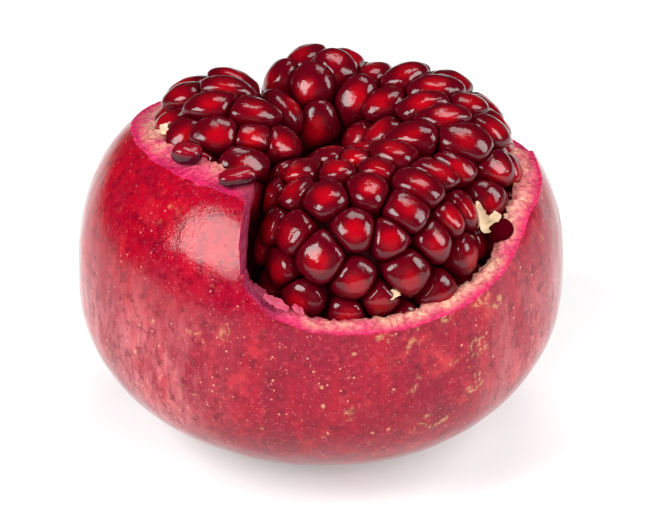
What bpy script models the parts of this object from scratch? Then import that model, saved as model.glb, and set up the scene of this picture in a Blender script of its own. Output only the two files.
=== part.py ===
"""Open pomegranate: a whole fruit with its crown cut off and the rind notched
down at the front, the packed arils standing up out of the rind.

Metres, +Z up.  The fruit rests on the flat stem end at z = 0, its axis is the
Z axis, and the low notch in the rind faces -Y.
Azimuth 0 is the front (-Y) and grows towards +X.
"""
import math

import bmesh
import bpy
import numpy as np
from mathutils import Vector

MM = 0.001

# Rind: a surface of revolution, one super-ellipse below and one above the
# equator.  Lengths of the fruit body are in mm from the middle of the equator.
EQUATOR_HEIGHT = 32.7
OUTER_RADIUS = 50.5
OUTER_LOWER = (33.8, 2.16)
OUTER_UPPER = (41.6, 2.62)
INNER_RADIUS = 45.5
INNER_LOWER = (28.5, 2.12)
INNER_UPPER = (38.5, 2.62)
FLOOR_DEPTH = 27.8
RIPPLE = 0.35
RIPPLE_LOBES = (3, 5)
RIPPLE_SHIFT = 0.6
RIPPLE_SECOND = 0.6
RIPPLE_RISE = 21.0
RIPPLE_START = 1.0
RIPPLE_FADE = 12.0
WALL_ROWS = 15
WALL_ROW_POWER = 1.35
INNER_ROWS = 13
RIND_SHARP_DEG = 38

# Cut rim: height of its skin edge above the equator (mm) against azimuth
# (degrees), and how it climbs towards its inner edge.
RIM_OUTLINE = (
    (-180, 20.5), (-163, 20.5), (-150, 23.0), (-138, 25.8), (-127, 27.6),
    (-112, 29.4), (-103, 30.8), (-90, 32.3), (-77, 33.1), (-60, 33.6),
    (-28, 33.8), (-23.5, 33.2), (-22, 28.5), (-18, 19.8), (-11, 15.4),
    (-3, 13.6), (8, 12.7), (22, 12.9), (34, 14.1), (48, 17.0), (58, 21.0),
    (66, 23.4), (84, 24.2), (91, 25.6), (97, 25.9), (105, 22.6), (112, 19.6), (125, 19.2),
    (160, 20.2), (180, 20.5),
)
RIM_RISE = 0.27
RIM_SAG = 0.7
COARSE_STEP = 6.0
FINE_STEP = 1.5
LEAST_STEP = 0.7
FINE_SPAN = (-30.0, -6.0)

# Empty socket in the cut face of the rim, where one aril has dropped out.
SOCKET = (59.4, 41.4, 21.9)
SOCKET_RADIUS = 2.9
SOCKET_SUBDIVISIONS = 3

# Pulp chambers: centre and radii (radial, tangential, vertical) in mm, and the
# azimuth the radial axis points to, and the power of the super-ellipsoid.
CHAMBERS = {
    "left": ((-19.0, 2.5, 12.5), (22.5, 30.0, 30.0), -88, 2.0),
    "back": ((0.0, 23.5, 12.5), (18.5, 17.0, 27.0), 176, 2.2),
    "back_right": ((18.5, 18.0, 11.5), (18.5, 17.5, 26.2), 130, 2.2),
    "right": ((25.0, 2.0, 12.0), (17.4, 23.5, 26.2), 94, 2.2),
    "front": ((8.0, -20.5, 9.5), (22.0, 22.6, 26.0), 14, 3.0),
}
JOINED = ("back", "back_right", "right", "front")
BLEND = 5.0
LEAST_LEVEL = 0.05

# Hollows between the chambers and beside the empty socket: centre and radii.
HOLLOWS = (
    ((-1.0, 2.0, 34.0), (7.0, 6.0, 13.0)),
    ((-12.2, 15.0, 41.0), (1.0, 14.0, 7.0)),
    ((39.0, -23.5, 26.0), (3.4, 3.4, 3.6)),
)

# Arils: packed over the chambers with their centres a little under the skin,
# longer along the axis that points out from the core of the fruit.
ARIL_SPACING = 7.15
ARIL_STRETCH = 1.25
ARIL_DEPTH = 3.9
ARIL_RADIUS = 4.1
ARIL_COVER = 9.0
ARIL_LEAN = 0.22
ARIL_CROWDING = 1.1
CENTRE_GAP = 4.0
CENTRE_LEAN = 1.3
INNER_BACK = 24.0
CANDIDATES_PER_MM2 = 2.2
CANDIDATE_SPARE = 1.6
FAR_SCALE = 1.6
HALVINGS = 22
LEVEL_TOLERANCE = 0.03
SIZE_SPREAD = 0.5
SIZE_LIMITS = (-1.6, 0.8)
SLOPE_STEP = 0.2
INNER_BACK_TURN = 0.25
PACKING_ROUNDS = 16
SEED = 3

# Clearances between the pulp, the rind and the neighbouring chambers.
WALL_GAP = 0.8
RIM_GAP = 1.8
RIM_GAP_REACH = 3.0
OVERHANG = 1.2
OVERHANG_START = 1.0
OVERHANG_HEIGHT = 20.0
STEP_REACH = 4.0
CHAMBER_GAP = 0.02
BED_DEPTH = 4.6
SKIRT_DROP = 6.0
CLUSTER_TRIANGLES = 1500
RAY_SUBDIVISIONS = 5
RAY_START = 0.5
RAY_LENGTH = 60.0
RAY_STEPS = 240
RAY_MARGIN = 0.25
RAY_TILT = 0.35
ARIL_SHARP_DEG = 60
SOFTEN = (0.5, 2)

# Scraps and loose arils: azimuth, radius and height (mm from the equator).
MEMBRANE_RIGHT = (56.2, 39.3, 24.0)
MEMBRANE_FRONT = (18.2, 43.5, 17.2)
MEMBRANE_LEFT = (-80.0, 32.0, 35.7)
SHRED_LONG = (-11.0, 45.6, 18.1)
SHRED_SHORT = (-5.4, 45.8, 16.3)
LOOSE_ARIL_REAR = (-56.0, 32.0, 36.6)
LOOSE_ARIL_FRONT = (-31.5, 32.0, 36.8)
POCKET_RADIUS = 3.6
LOOSE_SUBDIVISIONS = 2
LOOSE_REAR_RADII = (2.9, 2.1, 1.9)
LOOSE_FRONT_RADII = (3.1, 2.1, 1.9)

# Scraps: length, width and thickness in mm, lean in degrees, and curl in mm.
MEMBRANE_RIGHT_SHAPE = (4.6, 3.6, 0.9, 62, 0.8)
MEMBRANE_FRONT_SHAPE = (3.8, 2.6, 0.8, 20, 0.5)
MEMBRANE_LEFT_SHAPE = (4.6, 2.2, 0.8, 4, -0.5)
SHRED_LONG_SHAPE = (5.6, 2.2, 0.9, -24, -0.9)
SHRED_SHORT_SHAPE = (3.2, 1.7, 0.8, 34, -0.5)
SCRAP_ROWS = 7
SCRAP_TAPER = 0.55
SCRAP_TAPER_POWER = 1.5
SCRAP_SHARP_DEG = 50


def clear_scene():
    for obj in list(bpy.data.objects):
        bpy.data.objects.remove(obj, do_unlink=True)


def material(name, colour, roughness):
    mat = bpy.data.materials.new(name)
    mat.use_nodes = True
    shader = mat.node_tree.nodes["Principled BSDF"]
    shader.inputs["Base Color"].default_value = (*colour, 1.0)
    shader.inputs["Roughness"].default_value = roughness
    shader.inputs["Metallic"].default_value = 0.0
    return mat


def profile(height, radius, lower, upper):
    """Radius of a super-elliptic body at a height above the equator."""
    height = np.asarray(height, dtype=float)
    depth = np.where(height < 0, lower[0], upper[0])
    power = np.where(height < 0, lower[1], upper[1])
    left = np.clip(1.0 - (np.abs(height) / depth) ** power, 0.0, 1.0)
    return radius * left ** (1.0 / power)


def outer_radius(height):
    return profile(height, OUTER_RADIUS, OUTER_LOWER, OUTER_UPPER)


def inner_radius(height):
    return profile(height, INNER_RADIUS, INNER_LOWER, INNER_UPPER)


def rim_height(azimuth):
    angle = (np.asarray(azimuth, dtype=float) + 180.0) % 360.0 - 180.0
    table = np.array(RIM_OUTLINE)
    return np.interp(angle, table[:, 0], table[:, 1])


def ripple(azimuth, height):
    """Slow unevenness of the grown skin, nothing at the flat stem end."""
    turn = math.radians(azimuth)
    twist = height / RIPPLE_RISE
    wave = math.sin(RIPPLE_LOBES[0] * turn + RIPPLE_SHIFT)
    wave += RIPPLE_SECOND * math.sin(RIPPLE_LOBES[1] * turn + twist)
    fade = min(1.0, max(0.0, (height + EQUATOR_HEIGHT - RIPPLE_START) / RIPPLE_FADE))
    return RIPPLE * wave * fade


def cylindrical(azimuth, radius, height):
    turn = math.radians(azimuth)
    return (
        radius * math.sin(turn) * MM,
        -radius * math.cos(turn) * MM,
        (height + EQUATOR_HEIGHT) * MM,
    )


def add_object(name, vertices, faces, mat, sharp_deg):
    mesh = bpy.data.meshes.new(name)
    mesh.from_pydata(vertices, [], faces)
    bm = bmesh.new()
    bm.from_mesh(mesh)
    bmesh.ops.recalc_face_normals(bm, faces=bm.faces)
    bm.to_mesh(mesh)
    bm.free()
    mesh.materials.append(mat)
    obj = bpy.data.objects.new(name, mesh)
    bpy.context.scene.collection.objects.link(obj)
    mesh.shade_smooth()
    mesh.set_sharp_from_angle(angle=math.radians(sharp_deg))
    return obj


def column_azimuths():
    turns = set(np.arange(-180.0, 180.0, COARSE_STEP))
    turns |= set(np.arange(*FINE_SPAN, FINE_STEP))
    kept = []
    for turn in sorted(turns):
        if not kept or turn - kept[-1] > LEAST_STEP:
            kept.append(float(turn))
    return kept


def lip_height(rim):
    """Height of the inner edge of the cut rim."""
    return rim - RIM_SAG + RIM_RISE * float(outer_radius(rim) - inner_radius(rim))


def rind_column(azimuth):
    """Points from the flat stem end, up the skin, over the rim, to the floor."""
    rim = float(rim_height(azimuth))
    points = []
    for row in range(WALL_ROWS + 1):
        part = row / WALL_ROWS
        height = -EQUATOR_HEIGHT + (rim + EQUATOR_HEIGHT) * part ** WALL_ROW_POWER
        radius = float(outer_radius(height)) + ripple(azimuth, height)
        points.append(cylindrical(azimuth, radius, height))
    top = lip_height(rim)
    for row in range(INNER_ROWS + 1):
        part = (1.0 - math.cos(row / INNER_ROWS * math.pi)) / 2
        height = top - (top + FLOOR_DEPTH) * part
        radius = float(inner_radius(min(height, rim)))
        points.append(cylindrical(azimuth, radius, height))
    return points


def build_rind(mat):
    columns = [rind_column(turn) for turn in column_azimuths()]
    count = len(columns)
    length = len(columns[0])
    vertices = [point for column in columns for point in column]
    faces = []
    for i in range(count):
        here = i * length
        there = (i + 1) % count * length
        for k in range(length - 1):
            faces.append((here + k, there + k, there + k + 1, here + k + 1))
    base = len(vertices)
    vertices.append((0.0, 0.0, 0.0))
    vertices.append((0.0, 0.0, (EQUATOR_HEIGHT - FLOOR_DEPTH) * MM))
    for i in range(count):
        here = i * length
        there = (i + 1) % count * length
        faces.append((base, there, here))
        faces.append((base + 1, here + length - 1, there + length - 1))
    return add_object("rind", vertices, faces, mat, RIND_SHARP_DEG)


def cut_socket(rind):
    bm = bmesh.new()
    bmesh.ops.create_icosphere(bm, subdivisions=SOCKET_SUBDIVISIONS, radius=SOCKET_RADIUS * MM)
    bmesh.ops.translate(bm, verts=bm.verts, vec=Vector(cylindrical(*SOCKET)))
    mesh = bpy.data.meshes.new("socket_cutter")
    bm.to_mesh(mesh)
    bm.free()
    cutter = bpy.data.objects.new("socket_cutter", mesh)
    bpy.context.scene.collection.objects.link(cutter)
    cutter.hide_render = True
    cutter.display_type = "WIRE"
    modifier = rind.modifiers.new("socket", "BOOLEAN")
    modifier.operation = "DIFFERENCE"
    modifier.solver = "EXACT"
    modifier.object = cutter


def chamber_axes(azimuth):
    turn = math.radians(azimuth)
    return np.array([
        [math.sin(turn), -math.cos(turn), 0.0],
        [math.cos(turn), math.sin(turn), 0.0],
        [0.0, 0.0, 1.0],
    ])


def chamber_level(points, name, depth):
    """1 on the skin of a chamber's ellipsoid shrunk by depth, less inside."""
    centre, radii, azimuth, power = CHAMBERS[name]
    local = (points - np.array(centre)) @ chamber_axes(azimuth).T
    parts = np.abs(local / (np.array(radii) - depth)) ** power
    return np.sum(parts, axis=-1) ** (1.0 / power)


def pulp_level(points, name, depth):
    """Below 1 inside the pulp: the joined chambers run into each other."""
    level = chamber_level(points, name, depth)
    if name in JOINED:
        total = 0.0
        for other in JOINED:
            part = np.maximum(chamber_level(points, other, depth), LEAST_LEVEL)
            total = total + part ** -BLEND
        level = total ** (-1.0 / BLEND)
    for centre, radii in HOLLOWS:
        offset = (points - np.array(centre)) / (np.array(radii) + depth)
        level = np.maximum(level, 2.0 - np.linalg.norm(offset, axis=-1))
    return level


def azimuth_of(points):
    return np.degrees(np.arctan2(points[..., 0], -points[..., 1]))


def wall_limit(points):
    """Largest radius the pulp may reach inside the rind and above its rim."""
    height = points[..., 2]
    azimuth = azimuth_of(points)
    rim = np.maximum(rim_height(azimuth - STEP_REACH), rim_height(azimuth + STEP_REACH))
    wall = inner_radius(np.minimum(height, rim)) - WALL_GAP
    near_rim = RIM_GAP * np.exp(-((height - rim) / RIM_GAP_REACH) ** 2)
    return wall - near_rim + OVERHANG * np.clip(height - rim - OVERHANG_START, 0.0, OVERHANG_HEIGHT)


def centre_limit(points):
    """Largest radius for the middle of an aril."""
    height = points[..., 2]
    rim = rim_height(azimuth_of(points))
    wall = inner_radius(np.minimum(height, rim)) - CENTRE_GAP
    return wall + CENTRE_LEAN * np.clip(height - rim, 0.0, OVERHANG_HEIGHT)


def skin_normals(points, depth):
    """Direction out of the pulp's skin at each point."""
    slope = np.zeros_like(points)
    for axis in range(3):
        shift = np.zeros(3)
        shift[axis] = SLOPE_STEP
        for sign in (1.0, -1.0):
            there = points + sign * shift
            level = np.minimum(pulp_level(there, "left", depth), pulp_level(there, "front", depth))
            slope[:, axis] += sign * level
    return slope / np.linalg.norm(slope, axis=1)[:, None]


def push_to_skin(offsets, name, depth):
    """Scale offsets from a chamber's centre until they end on the pulp's skin."""
    centre = np.array(CHAMBERS[name][0])
    near = np.ones(len(offsets))
    far = np.full(len(offsets), FAR_SCALE)
    for _ in range(HALVINGS):
        middle = (near + far) / 2
        inside = pulp_level(centre + offsets * middle[:, None], name, depth) < 1.0
        near = np.where(inside, middle, near)
        far = np.where(inside, far, middle)
    return centre + offsets * near[:, None]


def skin_candidates(rng):
    """Even scatter of points and the chamber each one belongs to."""
    names = list(CHAMBERS)
    points = []
    owners = []
    for index, name in enumerate(names):
        radii = np.array(CHAMBERS[name][1]) - ARIL_DEPTH
        count = int(4 * math.pi * radii.max() ** 2 * CANDIDATES_PER_MM2 * CANDIDATE_SPARE)
        rays = rng.normal(size=(count, 3))
        rays /= np.linalg.norm(rays, axis=1)[:, None]
        stretch = np.linalg.norm(rays * radii.prod() / radii, axis=1)
        area = 4 * math.pi * stretch.mean()
        rays = rays[rng.uniform(size=count) * stretch.max() < stretch]
        rays = rays[:int(area * CANDIDATES_PER_MM2)]
        offsets = (rays * radii) @ chamber_axes(CHAMBERS[name][2])
        found = push_to_skin(offsets, name, ARIL_DEPTH)
        own = chamber_level(found, name, ARIL_DEPTH)
        keep = np.abs(pulp_level(found, name, ARIL_DEPTH) - 1.0) < LEVEL_TOLERANCE
        for other in names:
            if other != name:
                keep &= chamber_level(found, other, ARIL_DEPTH) > own
        side = "front" if name == "left" else "left"
        keep &= pulp_level(found, side, ARIL_DEPTH) > 1.0
        found = found[keep]
        reach = np.hypot(found[:, 0], found[:, 1])
        found[:, :2] *= np.minimum(1.0, centre_limit(found) / reach)[:, None]
        found = found[found[:, 2] > rim_height(azimuth_of(found)) - ARIL_COVER]
        points.append(found)
        owners += [index] * len(found)
    return np.concatenate(points), np.array(owners)


def aril_axes(points, owners):
    """Long axis of an aril: out from the core, upright inside the back chamber."""
    level = points * (1.0, 1.0, 0.0)
    level /= np.linalg.norm(level, axis=1)[:, None]
    axes = level + np.array([0.0, 0.0, ARIL_LEAN])
    inner = (owners == list(CHAMBERS).index("back")) & (points[:, 1] < INNER_BACK)
    axes[inner] = axes[inner] * INNER_BACK_TURN + np.array([0.0, 0.0, 1.0])
    return axes / np.linalg.norm(axes, axis=1)[:, None]


def pack_arils():
    """Centres, long axes, chambers and size differences of the surface arils."""
    rng = np.random.default_rng(SEED)
    points, owners = skin_candidates(rng)
    axes = aril_axes(points, owners)
    lying = 1.0 - np.sum(axes * skin_normals(points, ARIL_DEPTH), axis=1) ** 2
    room = np.sqrt(1.0 + (ARIL_STRETCH ** 2 - 1.0) * lying)
    cell = ARIL_SPACING ** 2 * math.sqrt(3) / 2
    count = int(ARIL_CROWDING * np.sum(1.0 / room) / CANDIDATES_PER_MM2 / cell)
    squeeze = 1.0 - 1.0 / ARIL_STRETCH ** 2
    chosen = [int(rng.integers(len(points)))]
    nearest = np.full(len(points), 1e9)
    for _ in range(count - 1):
        step = points - points[chosen[-1]]
        gap = np.sum(step ** 2, axis=1) - squeeze * np.sum(step * axes, axis=1) ** 2
        nearest = np.minimum(nearest, gap)
        chosen.append(int(np.argmax(nearest)))
    chosen = np.array(chosen)
    size = np.clip(rng.normal(size=count) * SIZE_SPREAD, *SIZE_LIMITS)
    for _ in range(PACKING_ROUNDS):
        step = points[:, None] - points[chosen][None]
        along = np.einsum("ijk,ik->ij", step, axes)
        gaps = np.sqrt(np.sum(step ** 2, axis=2) - squeeze * along ** 2) - size
        owner = gaps.argmin(axis=1)
        for i in range(count):
            mine = np.flatnonzero(owner == i)
            if len(mine):
                middle = points[mine].mean(axis=0)
                best = np.linalg.norm(points[mine] - middle, axis=1).argmin()
                chosen[i] = mine[best]
    return points[chosen], axes[chosen], owners[chosen], size


def sphere_directions(subdivisions):
    bm = bmesh.new()
    bmesh.ops.create_icosphere(bm, subdivisions=subdivisions, radius=1.0)
    rays = np.array([vertex.co[:] for vertex in bm.verts])
    faces = [tuple(vertex.index for vertex in face.verts) for face in bm.faces]
    bm.free()
    rays[:, 2] += RAY_TILT
    return rays / np.linalg.norm(rays, axis=1)[:, None], faces


def aril_tips(rays, offset, axis, radius):
    """Distance along each ray to the far side of one aril, 0 where it is missed."""
    squash = np.eye(3) - (1.0 - 1.0 / ARIL_STRETCH) * np.outer(axis, axis)
    slim = rays @ squash
    place = offset @ squash
    square = np.sum(slim ** 2, axis=1)
    along = slim @ place
    inside = along ** 2 - square * (place @ place - radius ** 2)
    tip = (along + np.sqrt(np.clip(inside, 0.0, None))) / square
    return np.where((inside > 0.0) & (along > 0.0), tip, 0.0)


def cluster_reach(rays, name, arils, pockets):
    """Distance from the chamber's centre to the lumpy skin along every ray."""
    centre = np.array(CHAMBERS[name][0])
    steps = np.linspace(RAY_START, RAY_LENGTH, RAY_STEPS)
    trail = centre + rays[:, None, :] * steps[None, :, None]
    outside = pulp_level(trail, name, BED_DEPTH) > 1.0
    outside &= trail[..., 2] > centre[2] - SKIRT_DROP
    reach = np.where(outside, steps, RAY_LENGTH).min(axis=1)
    for middle, axis, size in arils:
        tips = aril_tips(rays, middle - centre, axis, ARIL_RADIUS + size)
        reach = np.maximum(reach, tips)
    own = chamber_level(trail, name, ARIL_DEPTH) + CHAMBER_GAP
    blocked = np.zeros(outside.shape, dtype=bool)
    for other in CHAMBERS:
        if other != name:
            blocked |= chamber_level(trail, other, ARIL_DEPTH) < own
    radius = np.hypot(trail[..., 0], trail[..., 1])
    blocked |= radius > wall_limit(trail)
    blocked |= trail[..., 2] < WALL_GAP - FLOOR_DEPTH
    for pocket in pockets:
        blocked |= np.linalg.norm(trail - pocket, axis=-1) < POCKET_RADIUS
    first = np.where(blocked, steps, RAY_LENGTH).min(axis=1)
    return np.minimum(reach, first - RAY_MARGIN)


def build_cluster(name, mat, arils, pockets):
    """One chamber's pulp: all its arils grown together into one lumpy body."""
    rays, faces = sphere_directions(RAY_SUBDIVISIONS)
    reach = cluster_reach(rays, name, arils, pockets)
    points = (np.array(CHAMBERS[name][0]) + rays * reach[:, None]) * MM
    points[:, 2] += EQUATOR_HEIGHT * MM
    obj = add_object("arils_" + name, points.tolist(), faces, mat, ARIL_SHARP_DEG)
    smooth = obj.modifiers.new("soften", "SMOOTH")
    smooth.factor, smooth.iterations = SOFTEN
    thin = obj.modifiers.new("thin", "DECIMATE")
    thin.ratio = CLUSTER_TRIANGLES / len(faces)
    return obj


def build_flake(name, mat, place, shape):
    """Thin torn scrap: a tapering strip bent upwards along its length."""
    azimuth, radius, height = place
    length, width, thickness, lean_deg, curl = shape
    turn = math.radians(azimuth)
    lean = math.radians(lean_deg)
    outward = np.array([math.sin(turn), -math.cos(turn), 0.0])
    around = np.array([math.cos(turn), math.sin(turn), 0.0])
    up = np.array([0.0, 0.0, 1.0])
    along = around * math.cos(lean) + up * math.sin(lean)
    rise = up * math.cos(lean) - around * math.sin(lean)
    middle = outward * radius + up * height
    rows = SCRAP_ROWS
    vertices = []
    for i in range(rows):
        part = i / (rows - 1) - 0.5
        half = width * (0.5 - SCRAP_TAPER * abs(part) ** SCRAP_TAPER_POWER)
        bend = curl * (part ** 2) * 4.0
        spine = middle + along * length * part + outward * bend
        for side, layer in ((-1, -1), (1, -1), (1, 1), (-1, 1)):
            corner = spine + rise * half * side + outward * thickness / 2 * layer
            corner = corner * MM
            corner[2] += EQUATOR_HEIGHT * MM
            vertices.append(tuple(corner))
    faces = [(0, 1, 2, 3), tuple(4 * rows - 4 + k for k in (3, 2, 1, 0))]
    for i in range(rows - 1):
        for k in range(4):
            near = 4 * i + k
            side = 4 * i + (k + 1) % 4
            faces.append((near, side, side + 4, near + 4))
    return add_object(name, vertices, faces, mat, SCRAP_SHARP_DEG)


def build_loose_aril(name, mat, place, radii):
    """Small aril lying on the cut rim."""
    azimuth, radius, height = place
    bm = bmesh.new()
    bmesh.ops.create_icosphere(bm, subdivisions=LOOSE_SUBDIVISIONS, radius=1.0)
    turn = math.radians(azimuth)
    middle = np.array(cylindrical(azimuth, radius, height))
    vertices = []
    for vertex in bm.verts:
        across = vertex.co.x * radii[0]
        out = vertex.co.y * radii[1]
        point = np.array([
            across * math.cos(turn) + out * math.sin(turn),
            across * math.sin(turn) - out * math.cos(turn),
            vertex.co.z * radii[2],
        ])
        vertices.append(tuple(middle + point * MM))
    faces = [tuple(vertex.index for vertex in face.verts) for face in bm.faces]
    bm.free()
    return add_object(name, vertices, faces, mat, ARIL_SHARP_DEG)


def place_of(cylinder_place):
    azimuth, radius, height = cylinder_place
    turn = math.radians(azimuth)
    return np.array([radius * math.sin(turn), -radius * math.cos(turn), height])


def main():
    clear_scene()
    skin = material("rind_skin", (0.46, 0.012, 0.042), 0.36)
    flesh = material("aril_flesh", (0.20, 0.003, 0.012), 0.10)
    membrane = material("membrane", (0.82, 0.66, 0.42), 0.62)
    shred = material("rind_shred", (0.66, 0.13, 0.20), 0.50)

    rind = build_rind(skin)
    cut_socket(rind)

    loose = (MEMBRANE_RIGHT, MEMBRANE_FRONT, MEMBRANE_LEFT, LOOSE_ARIL_REAR, LOOSE_ARIL_FRONT)
    pockets = [place_of(place) for place in loose]
    centres, axes, owners, sizes = pack_arils()
    for index, name in enumerate(CHAMBERS):
        mine = owners == index
        arils = list(zip(centres[mine], axes[mine], sizes[mine]))
        build_cluster(name, flesh, arils, pockets)

    build_flake("membrane_right", membrane, MEMBRANE_RIGHT, MEMBRANE_RIGHT_SHAPE)
    build_flake("membrane_front", membrane, MEMBRANE_FRONT, MEMBRANE_FRONT_SHAPE)
    build_flake("membrane_left", membrane, MEMBRANE_LEFT, MEMBRANE_LEFT_SHAPE)
    build_flake("rind_shred_long", shred, SHRED_LONG, SHRED_LONG_SHAPE)
    build_flake("rind_shred_short", shred, SHRED_SHORT, SHRED_SHORT_SHAPE)
    build_loose_aril("loose_aril_rear", flesh, LOOSE_ARIL_REAR, LOOSE_REAR_RADII)
    build_loose_aril("loose_aril_front", flesh, LOOSE_ARIL_FRONT, LOOSE_FRONT_RADII)


main()
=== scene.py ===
import math

import bmesh
import bpy
import numpy as np
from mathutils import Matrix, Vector, noise


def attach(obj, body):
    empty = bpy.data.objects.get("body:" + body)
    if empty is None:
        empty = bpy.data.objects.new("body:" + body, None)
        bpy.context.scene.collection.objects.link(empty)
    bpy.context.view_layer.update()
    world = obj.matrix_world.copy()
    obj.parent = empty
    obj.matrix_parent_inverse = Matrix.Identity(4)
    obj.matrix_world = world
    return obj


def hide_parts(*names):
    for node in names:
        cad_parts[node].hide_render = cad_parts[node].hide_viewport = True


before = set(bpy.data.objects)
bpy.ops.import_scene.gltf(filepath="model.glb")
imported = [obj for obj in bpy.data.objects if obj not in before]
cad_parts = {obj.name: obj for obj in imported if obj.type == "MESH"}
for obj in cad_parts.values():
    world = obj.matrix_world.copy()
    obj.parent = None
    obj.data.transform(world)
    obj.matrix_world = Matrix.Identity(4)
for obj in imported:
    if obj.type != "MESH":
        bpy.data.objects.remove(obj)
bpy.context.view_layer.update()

# Looks of an open pomegranate.  Lengths here are in mm from the middle of the
# fruit's equator, azimuth 0 is the front (-Y) and grows towards +X, as in the CAD.
# The husk's outside and inside each have a radius at the equator, and a height and
# a roundness below and above it.
MM = 0.001
EQUATOR_HEIGHT = 32.7
OUTER_RADIUS = 50.5
OUTER_LOWER = (33.8, 2.16)
OUTER_UPPER = (41.6, 2.62)
INNER_RADIUS = 45.5
INNER_LOWER = (28.5, 2.12)
INNER_UPPER = (38.5, 2.62)
FLOOR_DEPTH = 27.8
RIPPLE = 0.35

# Height of the cut's outer edge by azimuth: a high flap on the left ends in a step.
RIM_OUTLINE = (
    (-180, 20.5), (-163, 20.5), (-150, 23.0), (-138, 25.8), (-127, 27.6),
    (-112, 29.4), (-103, 30.8), (-90, 32.3), (-77, 33.1), (-60, 33.6),
    (-28, 33.8), (-23.5, 33.2), (-22, 28.5), (-18, 19.8), (-11, 15.4),
    (-3, 13.6), (8, 12.7), (22, 12.9), (34, 14.1), (48, 17.0), (58, 21.0),
    (66, 23.4), (84, 24.2), (91, 25.6), (97, 25.9), (105, 22.6), (112, 19.6),
    (125, 19.2), (160, 20.2), (180, 20.5),
)
# The cut face rises inwards by this much for each mm.
RIM_RISE = 0.27
# Empty socket in the cut: azimuth, radius and height of its middle.
SOCKET = (57.8, 42.0, 21.2)
SOCKET_RADIUS = 2.9
STEP_AZIMUTH = -20.0
STEP_TEAR = 1.6
STEP_RAGGEDNESS = 1.8
CORNER_AZIMUTH = -25.0
CORNER_THINNING = 2.4
# Where the cut of the rim is pale (1) and where it is deep red (below 0), by azimuth; well below 0
# at the step the torn wall is also darkened as painted shade.
RIM_PALENESS = (
    (-180, 0.8), (-100, 0.5), (-92, 0.6), (-72, 0.6), (-62, -0.05), (-30, -0.05),
    (-24, -0.6), (-12, -0.5), (-4, 0.30), (20, 0.50), (40, 0.55), (60, 0.65),
    (75, 0.50), (100, 0.5), (180, 0.8),
)

# Lobes of pulp: middle, radii, azimuth that the first radius points to, roundness.
CHAMBERS = {
    "left": ((-19.0, 2.5, 12.5), (22.5, 30.0, 30.0), -88, 2.0),
    "back": ((0.0, 23.5, 12.5), (18.5, 17.0, 27.0), 176, 2.2),
    "back_right": ((18.5, 18.0, 11.5), (18.5, 17.5, 26.2), 130, 2.2),
    "right": ((25.0, 2.0, 12.0), (17.4, 23.5, 26.2), 94, 2.2),
    "front": ((8.0, -20.5, 9.5), (22.0, 22.6, 26.0), 14, 3.0),
}
JOINED = ("back", "back_right", "right", "front")
BLEND = 5.0
# Hollows between and beside the lobes: middle and radii.
HOLLOWS = (
    ((-1.0, 2.0, 34.0), (7.0, 6.0, 13.0)),
    ((-12.2, 15.0, 41.0), (1.0, 14.0, 7.0)),
    ((39.0, -23.5, 26.0), (3.4, 3.4, 3.6)),
)

# Arils: distance between neighbours across them, length over width, depth of their
# middles below the pulp's skin, reach, flattening outwards and squareness.
ARIL_SPACING = 7.15
ARIL_STRETCH = 1.25
ARIL_DEPTH = 3.9
ARIL_REACH = 0.80
ARIL_FLATNESS = 1.42
ARIL_POWER = 8
ARIL_TILT = 0.13
ARIL_UNEVENNESS = 0.2
# Arils are placed down to this depth below the rim, and a little smaller there.
ARIL_COVER = 9.0
LOW_PARTING = 0.05
ARIL_WALL_GAP = 4.0
ARIL_OVERHANG = 1.3
# Direction that the painted glow in each aril leans: towards the front.
PAINTED_GLOW_LEAN = (0.0, -0.45, 0.0)
BED_DEPTH = 7.4
# Packing of the arils over the pulp's skin.
CANDIDATES_PER_MM2 = 2.2
CANDIDATE_SPARE = 1.6
SKIN_TOLERANCE = 0.03
CROWDING = 1.1
PACKING_ROUNDS = 16
SEARCH_ROUNDS = 22
NEIGHBOUR_REACH = 17.0
SEED = 3
ARIL_DETAIL = 4

# Middle of the patch of scabs below the rim on the right, in metres in the frame.
SCAB_PLACE = (0.027, -0.040, 0.040)


# ---------------------------------------------------------------- fruit shape

def profile(height, radius, lower, upper):
    height = np.asarray(height, dtype=float)
    depth = np.where(height < 0, lower[0], upper[0])
    power = np.where(height < 0, lower[1], upper[1])
    left = np.clip(1.0 - (np.abs(height) / depth) ** power, 0.0, 1.0)
    return radius * left ** (1.0 / power)


def outer_radius(height):
    return profile(height, OUTER_RADIUS, OUTER_LOWER, OUTER_UPPER)


def inner_radius(height):
    return profile(height, INNER_RADIUS, INNER_LOWER, INNER_UPPER)


def rim_height(azimuth):
    angle = (np.asarray(azimuth, dtype=float) + 180.0) % 360.0 - 180.0
    table = np.array(RIM_OUTLINE)
    return np.interp(angle, table[:, 0], table[:, 1])


def soft_rim_height(azimuth, spread):
    """Rim height with its corners rounded over a few degrees."""
    steps = np.linspace(-1.0, 1.0, 7)
    weights = np.exp(-2.0 * steps ** 2)
    heights = [rim_height(azimuth + spread * step) for step in steps]
    return sum(w * h for w, h in zip(weights, heights)) / weights.sum()


def ripple(azimuth, height):
    turn = math.radians(azimuth)
    wave = math.sin(3 * turn + 0.6) + 0.6 * math.sin(5 * turn + height / 21.0)
    fade = min(1.0, max(0.0, (height + EQUATOR_HEIGHT - 1.0) / 12.0))
    return RIPPLE * wave * fade


def azimuth_of(points):
    return np.degrees(np.arctan2(points[..., 0], -points[..., 1]))


def around(azimuth, radius, height):
    """Point in mm at an azimuth, radius and height."""
    turn = math.radians(azimuth)
    return np.array([radius * math.sin(turn), -radius * math.cos(turn), height])


def lift(points):
    """From mm about the equator to metres in the frame."""
    points = np.array(points, dtype=float) * MM
    points[..., 2] += EQUATOR_HEIGHT * MM
    return points


def smooth_step(value, low, high):
    part = np.clip((value - low) / (high - low), 0.0, 1.0)
    return part * part * (3.0 - 2.0 * part)


def lumps(point, scale, seed):
    """Smooth noise between -1 and 1 with lumps about scale mm across."""
    return noise.noise(Vector(point) / scale + Vector((seed, seed * 0.7, 0.0)))


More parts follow.
